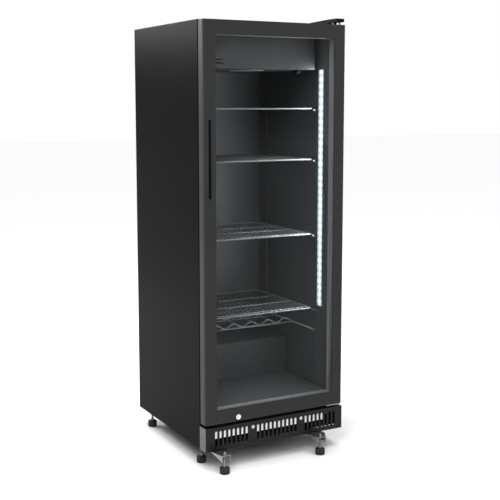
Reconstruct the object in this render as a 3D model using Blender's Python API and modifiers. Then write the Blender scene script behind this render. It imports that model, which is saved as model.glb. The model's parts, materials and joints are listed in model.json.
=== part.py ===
"""Upright glass-door display cooler, modelled as separate named pieces.

Run it with:  blender --background --python part.py

Metres, +Z up. The origin is on the floor under the middle of the cooler. The door faces -Y, and
its hinges are at +X. Places are given as a distance from the left edge, a distance behind the
door's front face and a height above the cabinet's underside; the functions across(), behind()
and up() turn those into x, y and z.
"""

import math

import bmesh
import bpy
from mathutils import Euler, Matrix, Vector

# Driving dimensions
WIDTH = 0.595
DEPTH = 0.630                # door front to back panel
HEIGHT = 1.560               # cabinet, without feet and hinge cover
FLOOR_GAP = 0.072            # floor to the cabinet's underside
STABILISER_REACH = 0.062     # front of the stabiliser feet ahead of the door

SHEET = 0.0015               # steel sheet
GAP = 0.0003                 # clearance between pieces that touch
WALL = 0.042                 # side wall, outer face to inner face
CEILING = 0.045
REAR_WALL = 0.045
LINER = 0.002

DOOR_THICKNESS = 0.040
GASKET_THICKNESS = 0.008
DOOR_BOTTOM = 0.100
DOOR_TOP = 1.558
DOOR_CORNER_RADIUS = 0.010
STILE = 0.048                # width of the door frame seen from the front
RAIL = 0.052                 # height of its top and bottom rails
REBATE = 0.014               # how far the glass runs under the frame's front lip
LIP = 0.005                  # thickness of that lip

PANE = 0.004
SPACER_DEPTH = 0.016

FLANGE = 0.018               # folded front edge of the cabinet's panels
REAR_FLANGE = 0.012
FLOOR_TOP = 0.147            # inner floor above the cabinet's underside
BAY_DEPTH = 0.220            # machine bay, measured from the back
BAY_HEIGHT = 0.250

SCREW_INSET = 0.012
SCREW_HOLE_RADIUS = 0.0040
SCREW_SEAT_RADIUS = 0.0048
SCREW_SEAT_DEPTH = 0.0011

SHELF_HEIGHTS = (1.247, 1.051, 0.758, 0.462)
BOTTLE_SHELF_HEIGHT = 0.379
BOTTLE_SHELF_FRONT = 0.268
SHELF_FRONT = 0.128
SHELF_BACK = 0.560
FRONT_UPRIGHT_LOW = 0.160
REAR_UPRIGHT_LOW = 0.364     # just under its lowest clip, clear of the step
SHELF_INSET = 0.060          # shelf end to the cabinet's outer side
SHELF_THICKNESS = 0.005
WIRE_BAR = 0.004

PLINTH_TOP = 0.0885
PLINTH_SHEET = 0.0025
SLOT_WIDTH = 0.010
SLOT_LENGTH = 0.058
SLOT_CENTRE = 0.045
SLOT_PITCH = 0.0182
SLOT_GROUPS = ((0.044, 8), (0.220, 10), (0.430, 8))   # first slot from the left edge, count
ROUND_HOLES = (0.199, 0.409)
ROUND_HOLE_RADIUS = 0.0075

HINGE_ACROSS = 0.580
HINGE_BEHIND = 0.022
PIN_RADIUS = 0.004

LOCK_ACROSS = 0.135
LOCK_UP = 0.116
LOCK_RADIUS = 0.010

HANDLE_BOTTOM = 0.925
HANDLE_TOP = 1.212

EVAPORATOR_BOTTOM = 1.395
EVAPORATOR_FRONT = 0.115
EVAPORATOR_INSET = 0.064
EVAPORATOR_FAN_RADIUS = 0.062
EVAPORATOR_FAN_BEHIND = 0.235
SWITCH_ACROSS = 0.118
SWITCH_UP = 1.419
KNOB_ACROSS = 0.480
KNOB_BEHIND = 0.165

LED_BOTTOM = 0.470
LED_TOP = 1.400

FOOT_RADIUS = 0.0185
FOOT_HEIGHT = 0.027
ROD_RADIUS = 0.004
LEVELLING_FEET = {
    "front_left": (0.032, 0.102),
    "front_right": (0.563, 0.102),
    "rear_left": (0.032, 0.570),
    "rear_right": (0.563, 0.570),
}
STABILISERS = {"left": 0.056, "right": 0.468}
STABILISER_BEHIND = FOOT_RADIUS - STABILISER_REACH

TOTAL_DEPTH = DEPTH + STABILISER_REACH
FRONT = -TOTAL_DEPTH / 2 + STABILISER_REACH
BACK = FRONT + DEPTH
LEFT = -WIDTH / 2
RIGHT = WIDTH / 2


def across(distance):
    return LEFT + distance


def behind(distance):
    return FRONT + distance


def up(height):
    return FLOOR_GAP + height


BODY_FRONT = behind(DOOR_THICKNESS + GASKET_THICKNESS)
INNER_LEFT = LEFT + WALL
INNER_RIGHT = RIGHT - WALL
INNER_BACK = BACK - REAR_WALL
INNER_TOP = up(HEIGHT - CEILING)
INNER_FLOOR = up(FLOOR_TOP)
HUMP_FRONT = BACK - BAY_DEPTH - REAR_WALL
HUMP_TOP = up(BAY_HEIGHT + REAR_WALL)
FLANGE_LEFT = LEFT + FLANGE + GAP
FLANGE_RIGHT = RIGHT - FLANGE - GAP
WEB_LEFT = LEFT + SHEET + GAP
WEB_RIGHT = RIGHT - SHEET - GAP

BAY_FRONT = BACK - BAY_DEPTH
COMPRESSOR_X = 0.150
COMPRESSOR_Y = BACK - 0.112
CONDENSER_X = -0.155
CONDENSER_Z = up(0.110)
CONDENSER_FAN_RADIUS = 0.072
INLET_X = 0.210
INLET_Z = up(0.035)

COLOURS = {
    # name: (red, green, blue, roughness, metallic)
    "cabinet_paint": (0.035, 0.035, 0.037, 0.45, 0.0),
    "door_paint": (0.040, 0.040, 0.042, 0.40, 0.0),
    "liner_plastic": (0.085, 0.086, 0.092, 0.50, 0.0),
    "reveal_plastic": (0.180, 0.182, 0.195, 0.45, 0.0),
    "black_plastic": (0.012, 0.012, 0.012, 0.45, 0.0),
    "white_plastic": (0.850, 0.850, 0.850, 0.50, 0.0),
    "zinc_steel": (0.520, 0.520, 0.500, 0.35, 1.0),
    "wire_coating": (0.600, 0.620, 0.640, 0.35, 0.6),
    "glass": (0.900, 0.930, 0.930, 0.02, 0.0),
    "foam": (0.750, 0.680, 0.450, 0.90, 0.0),
    "rubber": (0.010, 0.010, 0.010, 0.70, 0.0),
    "copper": (0.720, 0.360, 0.220, 0.35, 1.0),
    "aluminium": (0.700, 0.710, 0.720, 0.40, 1.0),
    "led_light": (0.900, 0.950, 1.000, 0.30, 0.0),
}

parts = bpy.data.collections.new("display_cooler")
cutters = bpy.data.collections.new("cutters")


def clear_scene():
    for item in list(bpy.data.objects):
        bpy.data.objects.remove(item, do_unlink=True)


def make_material(name):
    red, green, blue, roughness, metallic = COLOURS[name]
    material = bpy.data.materials.new(name)
    material.use_nodes = True
    shader = material.node_tree.nodes["Principled BSDF"]
    shader.inputs["Base Color"].default_value = (red, green, blue, 1.0)
    shader.inputs["Roughness"].default_value = roughness
    shader.inputs["Metallic"].default_value = metallic
    return material


def paint(item, name):
    """Give an object its one material."""
    material = bpy.data.materials.get(name) or make_material(name)
    item.data.materials.clear()
    item.data.materials.append(material)
    return item


def add_object(name, data, location=(0, 0, 0), rotation=(0, 0, 0)):
    item = bpy.data.objects.new(name, data)
    item.location = location
    item.rotation_euler = rotation
    parts.objects.link(item)
    return item


def box(name, low, high):
    """Box between two corners."""
    size = Vector(high) - Vector(low)
    shape = bmesh.new()
    bmesh.ops.create_cube(shape, size=1.0, matrix=Matrix.Diagonal((*size, 1.0)))
    mesh = bpy.data.meshes.new(name)
    shape.to_mesh(mesh)
    shape.free()
    return add_object(name, mesh, (Vector(high) + Vector(low)) / 2)


def cylinder(name, radius, start, end, segments=24):
    """Cylinder between two points."""
    axis = Vector(end) - Vector(start)
    shape = bmesh.new()
    bmesh.ops.create_cone(
        shape, cap_ends=True, segments=segments, radius1=radius, radius2=radius, depth=axis.length
    )
    mesh = bpy.data.meshes.new(name)
    shape.to_mesh(mesh)
    shape.free()
    turn = axis.to_track_quat("Z", "Y").to_euler()
    item = add_object(name, mesh, (Vector(start) + Vector(end)) / 2, turn)
    item.data.shade_smooth()
    item.data.set_sharp_from_angle(angle=math.radians(40))
    return item


PLANE_TURN = {
    "X": (math.pi / 2, 0, math.pi / 2),   # outline in y, z
    "Y": (math.pi / 2, 0, 0),             # outline in x, z
    "Z": (0, 0, 0),                       # outline in x, y
}


def add_spline(curve, points):
    spline = curve.splines.new("POLY")
    spline.points.add(len(points) - 1)
    for point, place in zip(spline.points, points):
        point.co = (*place, 1.0) if len(place) == 3 else (*place, 0.0, 1.0)
    return spline


def curve_to_mesh(item):
    """Replace a curve object with its mesh, its loose caps welded on."""
    bpy.context.view_layer.update()
    evaluated = item.evaluated_get(bpy.context.evaluated_depsgraph_get())
    mesh = bpy.data.meshes.new_from_object(evaluated)
    shape = bmesh.new()
    shape.from_mesh(mesh)
    bmesh.ops.remove_doubles(shape, verts=shape.verts, dist=0.000005)
    bmesh.ops.recalc_face_normals(shape, faces=shape.faces)
    shape.to_mesh(mesh)
    shape.free()
    name = item.name
    matrix = item.matrix_world.copy()
    bpy.data.objects.remove(item, do_unlink=True)
    solid = add_object(name, mesh)
    solid.name = name
    solid.matrix_world = matrix
    return solid


def prism(name, outline, axis, low, high, holes=()):
    """Flat outline, with holes, given thickness from low to high along an axis."""
    curve = bpy.data.curves.new(name, "CURVE")
    curve.dimensions = "2D"
    curve.fill_mode = "BOTH"
    curve.extrude = (high - low) / 2
    for points in (outline, *holes):
        add_spline(curve, points).use_cyclic_u = True
    middle = (low + high) / 2
    location = {"X": (middle, 0, 0), "Y": (0, middle, 0), "Z": (0, 0, middle)}[axis]
    return curve_to_mesh(add_object(name, curve, location, PLANE_TURN[axis]))


def tube(name, points, radius, resolution=2):
    """Round tube along a line of points."""
    curve = bpy.data.curves.new(name, "CURVE")
    curve.dimensions = "3D"
    curve.bevel_depth = radius
    curve.bevel_resolution = resolution
    curve.use_fill_caps = True
    add_spline(curve, points)
    return curve_to_mesh(add_object(name, curve))


def turned(name, profile, location, steps=24):
    """Shape turned about a vertical axis; the profile (radius, height) runs from top to bottom."""
    mesh = bpy.data.meshes.new(name)
    points = [(radius, 0.0, height) for radius, height in profile]
    edges = [(index, index + 1) for index in range(len(points) - 1)]
    mesh.from_pydata(points, edges, [])
    item = add_object(name, mesh, location)
    screw = item.modifiers.new("turn", "SCREW")
    screw.axis = "Z"
    screw.steps = steps
    screw.render_steps = steps
    screw.use_merge_vertices = True
    screw.merge_threshold = 0.00001
    screw.use_smooth_shade = False
    return item


def combine(item, other, operation):
    """Boolean with another object, which becomes a cutter."""
    step = item.modifiers.new(operation.lower(), "BOOLEAN")
    step.operation = operation
    step.object = other
    other.hide_render = True
    other.display_type = "WIRE"
    parts.objects.unlink(other)
    cutters.objects.link(other)
    return item


def cut(item, *others):
    for other in others:
        combine(item, other, "DIFFERENCE")
    return item


def join(item, *others):
    for other in others:
        combine(item, other, "UNION")
    return item


def soften(item, width, segments=2, angle=40):
    """Round the sharp edges of an object."""
    bevel = item.modifiers.new("soften", "BEVEL")
    bevel.width = width
    bevel.segments = segments
    bevel.limit_method = "ANGLE"
    bevel.angle_limit = math.radians(angle)
    return item


def axis_at(name, location):
    """Empty on a joint's axis."""
    return add_object(name, None, location)


def hang_on(parent, *items):
    """Parent pieces to a joint's empty without moving them."""
    bpy.context.view_layer.update()
    for item in items:
        item.parent = parent
        item.matrix_parent_inverse = parent.matrix_world.inverted()


def rectangle(x_low, y_low, x_high, y_high):
    return [(x_low, y_low), (x_high, y_low), (x_high, y_high), (x_low, y_high)]


def arc(x, y, radius, start, end, steps):
    """Points on an arc, in degrees."""
    angles = [math.radians(start + (end - start) * step / steps) for step in range(steps + 1)]
    return [(x + radius * math.cos(angle), y + radius * math.sin(angle)) for angle in angles]


def upright_slot(x, z, width, length, steps=4):
    """Outline of a vertical slot with round ends."""
    radius = width / 2
    reach = length / 2 - radius
    return arc(x, z + reach, radius, 0, 180, steps) + arc(x, z - reach, radius, 180, 360, steps)


# Cabinet shell

def make_side_panel(name, side):
    """Steel side with folded front and rear edges; side is -1 on the left and 1 on the right."""
    outer = side * WIDTH / 2
    outline = [
        (outer, BODY_FRONT),
        (outer - side * FLANGE, BODY_FRONT),
        (outer - side * FLANGE, BODY_FRONT + SHEET),
        (outer - side * SHEET, BODY_FRONT + SHEET),
        (outer - side * SHEET, BACK - SHEET),
        (outer - side * REAR_FLANGE, BACK - SHEET),
        (outer - side * REAR_FLANGE, BACK),
        (outer, BACK),
    ]
    return paint(prism(name, outline, "Z", up(0), up(HEIGHT)), "cabinet_paint")


def make_top_panel():
    front = BODY_FRONT + SHEET + GAP
    back = BACK - SHEET - GAP
    top = up(HEIGHT)
    outline = [
        (front, top),
        (front, top - FLANGE),
        (front + SHEET, top - FLANGE),
        (front + SHEET, top - SHEET),
        (back - SHEET, top - SHEET),
        (back - SHEET, top - REAR_FLANGE),
        (back, top - REAR_FLANGE),
        (back, top),
    ]
    return paint(prism("top_panel", outline, "X", WEB_LEFT, WEB_RIGHT), "cabinet_paint")


def cut_screw_seats(panel, columns, rows):
    """Shallow round seats for screw heads in the outer face of a rear panel."""
    for x in columns:
        for z in rows:
            low = (x, BACK - SCREW_SEAT_DEPTH, z)
            high = (x, BACK + 0.01, z)
            cut(panel, cylinder(f"{panel.name}_seat", SCREW_SEAT_RADIUS, low, high, 12))


def make_back_panels():
    """Plain rear panel, and under it the slotted one that closes the machine bay."""
    left = LEFT + REAR_FLANGE + GAP
    right = RIGHT - REAR_FLANGE - GAP
    split = up(BAY_HEIGHT + 0.010)
    columns = (left + SCREW_INSET, right - SCREW_INSET)
    panel = box("back_panel", (left, BACK - SHEET, split + GAP), (right, BACK, up(HEIGHT)))
    middle = (split + up(HEIGHT)) / 2
    cut_screw_seats(panel, columns, (split + SCREW_INSET, middle, up(HEIGHT) - SCREW_INSET))
    paint(panel, "cabinet_paint")

    slot_rows = 5
    slots_in_row = 7
    slot_length = 0.052
    slot_height = 0.008
    slot_pitch_x = 0.066
    slot_pitch_z = 0.034
    holes = []
    for row in range(slot_rows):
        z = up(0.070 + row * slot_pitch_z)
        for column in range(slots_in_row):
            x = (column - (slots_in_row - 1) / 2) * slot_pitch_x
            holes.append(rectangle(x - slot_length / 2, z, x + slot_length / 2, z + slot_height))
    inlet = rectangle(INLET_X - 0.0145, INLET_Z - 0.0115, INLET_X + 0.0145, INLET_Z + 0.0115)
    low = up(0.0045)
    for x in columns:
        for z in (low + SCREW_INSET, split - SCREW_INSET):
            holes.append(arc(x, z, SCREW_HOLE_RADIUS, 0, 330, 11))
    outline = rectangle(left, low, right, split)
    grille = prism("rear_grille", outline, "Y", BACK - SHEET, BACK, (*holes, inlet))
    paint(grille, "cabinet_paint")


def make_power_inlet():
    """Appliance inlet in the rear grille: a flanged box with an open socket."""
    flange_back = BACK - SHEET - GAP
    depth = 0.022
    socket = box(
        "power_inlet",
        (INLET_X - 0.014, flange_back - depth, INLET_Z - 0.011),
        (INLET_X + 0.014, BACK - GAP, INLET_Z + 0.011),
    )
    flange = box(
        "inlet_flange",
        (INLET_X - 0.020, flange_back - 0.003, INLET_Z - 0.014),
        (INLET_X + 0.020, flange_back, INLET_Z + 0.014),
    )
    recess = box(
        "inlet_recess",
        (INLET_X - 0.011, BACK - 0.018, INLET_Z - 0.008),
        (INLET_X + 0.011, BACK + 0.010, INLET_Z + 0.008),
    )
    cut(join(socket, flange), recess)
    return paint(socket, "black_plastic")


def cavity_outline(margin, front):
    """Side view of the inner space, grown by a margin, with the step over the machine bay."""
    back = INNER_BACK + margin
    top = INNER_TOP + margin
    floor = INNER_FLOOR - margin
    return [
        (front, floor),
        (HUMP_FRONT + margin, floor),
        (HUMP_FRONT + margin, HUMP_TOP - margin),
        (back, HUMP_TOP - margin),
        (back, top),
        (front, top),
    ]


def make_foam():
    """Insulation between the steel shell and the liner, notched for the machine bay."""
    front = BODY_FRONT + 2 * (SHEET + GAP)
    back = BACK - 2 * (SHEET + GAP)
    top = up(HEIGHT) - SHEET - GAP
    bottom = up(DOOR_BOTTOM)
    outline = [
        (front, bottom),
        (BACK - BAY_DEPTH, bottom),
        (BACK - BAY_DEPTH, up(BAY_HEIGHT)),
        (back, up(BAY_HEIGHT)),
        (back, top),
        (front, top),
    ]
    foam = prism("insulation_foam", outline, "X", WEB_LEFT, WEB_RIGHT)
    margin = LINER + GAP
    space = prism(
        "foam_space",
        cavity_outline(margin, BODY_FRONT - 0.02),
        "X",
        INNER_LEFT - margin,
        INNER_RIGHT + margin,
    )
    return paint(cut(foam, space), "foam")


def make_liner():
    """Moulded inner liner with a flange round its front edge."""
    flange_front = BODY_FRONT + GAP
    flange_back = BODY_FRONT + LINER
    shell = prism(
        "inner_liner",
        cavity_outline(LINER, flange_front),
        "X",
        INNER_LEFT - LINER,
        INNER_RIGHT + LINER,
    )
    flange = box(
        "liner_flange",
        (FLANGE_LEFT, flange_front, up(DOOR_BOTTOM) + GAP),
        (FLANGE_RIGHT, flange_back, up(HEIGHT) - FLANGE - GAP),
    )
    space = prism(
        "liner_space",
        cavity_outline(0, BODY_FRONT - 0.02),
        "X",
        INNER_LEFT,
        INNER_RIGHT,
    )
    return paint(cut(join(shell, flange), space), "liner_plastic")


# Base, plinth and feet

def rod_cutter(name, x, y, low, high):
    return cylinder(name, ROD_RADIUS + 0.0006, (x, y, low), (x, y, high), 16)


def make_base_pan():
    front = BODY_FRONT + SHEET + GAP
    back = BACK - SHEET - GAP
    rim = 0.020
    outline = [
        (front, up(0)),
        (back, up(0)),
        (back, up(rim)),
        (back - SHEET, up(rim)),
        (back - SHEET, up(SHEET)),
        (front + SHEET, up(SHEET)),
        (front + SHEET, up(rim)),
        (front, up(rim)),
    ]
    pan = prism("base_pan", outline, "X", WEB_LEFT, WEB_RIGHT)
    for name, (x, y) in LEVELLING_FEET.items():
        cut(pan, rod_cutter(f"pan_hole_{name}", across(x), behind(y), up(-0.01), up(0.01)))
    return paint(pan, "zinc_steel")


def make_front_cross_member():
    """Folded channel behind the plinth that stiffens the base."""
    front = BODY_FRONT + 0.006
    back = front + 0.028
    low = up(SHEET + GAP)
    high = up(0.047)
    wall = 0.002
    outline = [
        (front, low),
        (front, high),
        (back, high),
        (back, high - wall),
        (front + wall, high - wall),
        (front + wall, low + wall),
        (back, low + wall),
        (back, low),
    ]
    return paint(prism("front_cross_member", outline, "X", WEB_LEFT, WEB_RIGHT), "black_plastic")


def slot_outlines():
    outlines = []
    for first, count in SLOT_GROUPS:
        for index in range(count):
            x = across(first + index * SLOT_PITCH)
            outlines.append(upright_slot(x, up(SLOT_CENTRE), SLOT_WIDTH, SLOT_LENGTH))
    return outlines


def make_front_grille():
    """Plinth grille: slotted front with side returns and a top return."""
    hole_height = up(SLOT_CENTRE + SLOT_LENGTH / 2 - ROUND_HOLE_RADIUS)
    round_holes = [
        arc(across(x), hole_height, ROUND_HOLE_RADIUS, 0, 330, 11) for x in ROUND_HOLES
    ]
    outline = rectangle(LEFT, up(0), RIGHT, up(PLINTH_TOP))
    grille = prism(
        "front_grille",
        outline,
        "Y",
        FRONT,
        FRONT + PLINTH_SHEET,
        (*slot_outlines(), *round_holes),
    )
    inner = FRONT + PLINTH_SHEET / 2
    for name, side in (("left", -1), ("right", 1)):
        x_outer = side * WIDTH / 2
        x_inner = x_outer - side * PLINTH_SHEET
        wing = box(
            f"grille_wing_{name}",
            (min(x_outer, x_inner), inner, up(0)),
            (max(x_outer, x_inner), BODY_FRONT - GAP, up(PLINTH_TOP)),
        )
        join(grille, wing)
    top_return = box(
        "grille_top_return",
        (LEFT + PLINTH_SHEET / 2, inner, up(PLINTH_TOP - PLINTH_SHEET)),
        (RIGHT - PLINTH_SHEET / 2, behind(DOOR_THICKNESS) + GAP, up(PLINTH_TOP)),
    )
    join(grille, top_return)
    return paint(grille, "cabinet_paint")


def make_air_baffle():
    """Pale strip close behind the upper half of the slots, hung from the cabinet's front edge."""
    front = FRONT + PLINTH_SHEET + 0.001
    sheet = 0.001
    low = up(0.046)
    high = up(PLINTH_TOP - PLINTH_SHEET) - GAP
    outline = [
        (front, low),
        (front, high),
        (behind(DOOR_THICKNESS), high),
        (behind(DOOR_THICKNESS), high - sheet),
        (front + sheet, high - sheet),
        (front + sheet, low),
    ]
    right = across(0.511)
    return paint(prism("air_baffle", outline, "X", LEFT + 0.004, right), "white_plastic")


FOOT_PROFILE_PAD = (
    (0.0150, FOOT_HEIGHT),
    (FOOT_RADIUS - 0.0010, FOOT_HEIGHT - 0.0030),
    (FOOT_RADIUS, FOOT_HEIGHT - 0.0060),
    (FOOT_RADIUS, 0.0040),
    (FOOT_RADIUS - 0.0020, 0.0),
    (0.0, 0.0),
)


def make_foot(name, x, y, rod_top):
    """Round pad on a threaded rod; the profile starts at the top of the rod."""
    profile = ((0.0, rod_top), (ROD_RADIUS, rod_top), (ROD_RADIUS, FOOT_HEIGHT), *FOOT_PROFILE_PAD)
    foot = turned(name, profile, (across(x), behind(y), 0))
    paint(foot, "rubber")
    hang_on(axis_at(f"{name}_axis", (across(x), behind(y), 0)), foot)
    return foot


def make_stabiliser_bracket(name, x):
    """Pressed bracket under the plinth: a tapered plate with deepening sides and a nut."""
    centre = across(x)
    rear = behind(0.070)
    tip = behind(-0.057)
    top = up(-GAP)
    sheet = 0.0025
    tip_depth = 0.024
    rear_half = 0.031
    tip_half = 0.018

    def taper(inset):
        return [
            (centre - rear_half + inset, FRONT),
            (centre - tip_half + inset, tip),
            (centre + tip_half - inset, tip),
            (centre + rear_half - inset, FRONT),
            (centre + rear_half - inset, rear),
            (centre - rear_half + inset, rear),
        ]

    bracket = prism(f"stabiliser_bracket_{name}", taper(0), "Z", top - tip_depth, top)
    grown = 0.01
    inner = taper(sheet)
    inner[1] = (inner[1][0] + 0.002, tip - grown)
    inner[2] = (inner[2][0] - 0.002, tip - grown)
    inner[4] = (inner[4][0], rear + grown)
    inner[5] = (inner[5][0], rear + grown)
    hollow = prism(f"bracket_hollow_{name}", inner, "Z", top - tip_depth - grown, top - sheet)
    rim = 0.003
    below = [
        (rear + grown, top - rim),
        (FRONT, top - rim),
        (tip, top - tip_depth),
        (tip - grown, top - tip_depth - grown),
        (rear + grown, top - tip_depth - grown),
    ]
    slope = prism(f"bracket_slope_{name}", below, "X", centre - 0.05, centre + 0.05)
    y = behind(STABILISER_BEHIND)
    nut = cylinder(
        f"bracket_nut_{name}",
        0.0075,
        (centre, y, top - sheet / 2),
        (centre, y, top + 0.006),
        6,
    )
    bore = rod_cutter(f"bracket_bore_{name}", centre, y, top - 0.02, top + 0.02)
    cut(join(cut(bracket, hollow, slope), nut), bore)
    return paint(bracket, "zinc_steel")


# Door

def make_door_frame():
    """Door frame with a glass opening, a rebate behind its lip, a grip pocket and bores."""
    back = behind(DOOR_THICKNESS)
    radius = DOOR_CORNER_RADIUS
    outline = [
        *arc(LEFT + radius, FRONT + radius, radius, 180, 270, 4),
        *arc(RIGHT - radius, FRONT + radius, radius, 270, 360, 4),
        (RIGHT, back),
        (LEFT, back),
    ]
    frame = prism("door_frame", outline, "Z", up(DOOR_BOTTOM), up(DOOR_TOP))
    opening = box(
        "door_opening",
        (LEFT + STILE, FRONT - 0.01, up(DOOR_BOTTOM + RAIL)),
        (RIGHT - STILE, back + 0.01, up(DOOR_TOP - RAIL)),
    )
    rebate = box(
        "door_rebate",
        (LEFT + STILE - REBATE, FRONT + LIP, up(DOOR_BOTTOM + RAIL - REBATE)),
        (RIGHT - STILE + REBATE, back + 0.01, up(DOOR_TOP - RAIL + REBATE)),
    )
    pocket = box(
        "grip_pocket",
        (across(0.012), FRONT - 0.01, up(HANDLE_BOTTOM + 0.004)),
        (across(0.0295), behind(0.024), up(HANDLE_TOP - 0.004)),
    )
    x = across(LOCK_ACROSS)
    z = up(LOCK_UP)
    lock_bore = cylinder("lock_bore", LOCK_RADIUS - 0.0007, (x, FRONT - 0.01, z), (x, back + 0.01, z))
    hinge_x = across(HINGE_ACROSS)
    hinge_y = behind(HINGE_BEHIND)
    bore_radius = PIN_RADIUS + 0.0005
    top_bore = cylinder(
        "top_pin_bore",
        bore_radius,
        (hinge_x, hinge_y, up(DOOR_TOP - 0.028)),
        (hinge_x, hinge_y, up(DOOR_TOP + 0.01)),
        16,
    )
    bottom_bore = cylinder(
        "bottom_pin_bore",
        bore_radius,
        (hinge_x, hinge_y, up(DOOR_BOTTOM - 0.01)),
        (hinge_x, hinge_y, up(DOOR_BOTTOM + 0.026)),
        16,
    )
    cut(frame, opening, rebate, pocket, lock_bore, top_bore, bottom_bore)
    return paint(frame, "door_paint")


def make_glazing():
    """Double glazing in the rebate: outer pane, spacer, inner pane and inner trim."""
    left = LEFT + STILE - REBATE + GAP
    right = RIGHT - STILE + REBATE - GAP
    low = up(DOOR_BOTTOM + RAIL - REBATE) + GAP
    high = up(DOOR_TOP - RAIL + REBATE) - GAP
    outer_front = FRONT + LIP + GAP
    spacer_front = outer_front + PANE + GAP
    inner_front = spacer_front + SPACER_DEPTH + GAP
    trim_front = inner_front + PANE + GAP
    trim_back = behind(DOOR_THICKNESS)
    outer = box("glass_outer", (left, outer_front, low), (right, outer_front + PANE, high))
    inner = box("glass_inner", (left, inner_front, low), (right, inner_front + PANE, high))
    outline = rectangle(left, low, right, high)
    hole = rectangle(
        LEFT + STILE, up(DOOR_BOTTOM + RAIL), RIGHT - STILE, up(DOOR_TOP - RAIL)
    )
    spacer = prism(
        "glazing_spacer", outline, "Y", spacer_front, spacer_front + SPACER_DEPTH, (hole,)
    )
    trim = prism("door_inner_trim", outline, "Y", trim_front, trim_back, (hole,))
    paint(outer, "glass")
    paint(inner, "glass")
    paint(spacer, "reveal_plastic")
    paint(trim, "reveal_plastic")
    return [outer, inner, spacer, trim]


def make_gasket():
    """Magnetic door seal round the inner opening."""
    width = 0.013
    overlap = 0.001
    left = INNER_LEFT - width + overlap
    right = INNER_RIGHT + width - overlap
    low = INNER_FLOOR - width + overlap
    high = INNER_TOP + width - overlap
    outline = rectangle(left, low, right, high)
    hole = rectangle(left + width, low + width, right - width, high - width)
    front = behind(DOOR_THICKNESS) + GAP
    gasket = prism("door_gasket", outline, "Y", front, BODY_FRONT - GAP, (hole,))
    return paint(gasket, "rubber")


def make_handle():
    """Grip strip over the pocket in the left stile, with a lip for the fingers."""
    section = [
        (0.0025, -0.0003),
        (0.0035, -0.0022),
        (0.0070, -0.0036),
        (0.0120, -0.0040),
        (0.0165, -0.0034),
        (0.0180, -0.0018),
        (0.0182, 0.0010),
        (0.0180, 0.0050),
        (0.0168, 0.0060),
        (0.0156, 0.0050),
        (0.0154, 0.0005),
        (0.0146, 0.0005),
        (0.0146, 0.0120),
        (0.0123, 0.0120),
        (0.0123, -0.0003),
    ]
    outline = [(across(x), behind(y)) for x, y in section]
    low = up(HANDLE_BOTTOM + 0.0045)
    high = up(HANDLE_TOP - 0.0045)
    return paint(prism("handle_grip", outline, "Z", low, high), "door_paint")


def make_lock():
    """Cam lock in the bottom rail: the cam drops behind the plinth's top return."""
    x = across(LOCK_ACROSS)
    z = up(LOCK_UP)
    back = behind(DOOR_THICKNESS)
    plug_radius = 0.006
    body = cylinder("lock_body", LOCK_RADIUS - 0.001, (x, FRONT - 0.001, z), (x, back, z))
    flange = cylinder("lock_flange", LOCK_RADIUS, (x, FRONT - 0.003, z), (x, FRONT - GAP, z))
    bore = cylinder("lock_plug_bore", plug_radius + 0.0004, (x, FRONT - 0.02, z), (x, back + 0.02, z))
    cut(join(body, flange), bore)
    paint(body, "zinc_steel")

    cam_front = back + 0.0013
    cam_back = cam_front + 0.0025
    plug = cylinder("lock_cylinder", plug_radius, (x, FRONT - 0.0035, z), (x, cam_front - GAP, z))
    tail = box("lock_tail", (x - 0.003, back - 0.004, z - 0.003), (x + 0.003, cam_back, z + 0.003))
    key_slot = box(
        "key_slot",
        (x - 0.0006, FRONT - 0.02, z - 0.0035),
        (x + 0.0006, FRONT + 0.006, z + 0.0035),
    )
    cut(join(plug, tail), key_slot)
    paint(plug, "zinc_steel")

    half = 0.0065
    length = 0.034
    outline = [(x, z - half), (x + length, z - half), (x + length, z + half), (x, z + half)]
    outline += arc(x, z, half, 110, 250, 6)
    hole = rectangle(x - 0.0033, z - 0.0033, x + 0.0033, z + 0.0033)
    cam = prism("lock_cam", outline, "Y", cam_front, cam_back, (hole,))
    paint(cam, "zinc_steel")

    hang_on(axis_at("lock_axis", (x, FRONT, z)), plug, cam)
    return body


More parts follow.
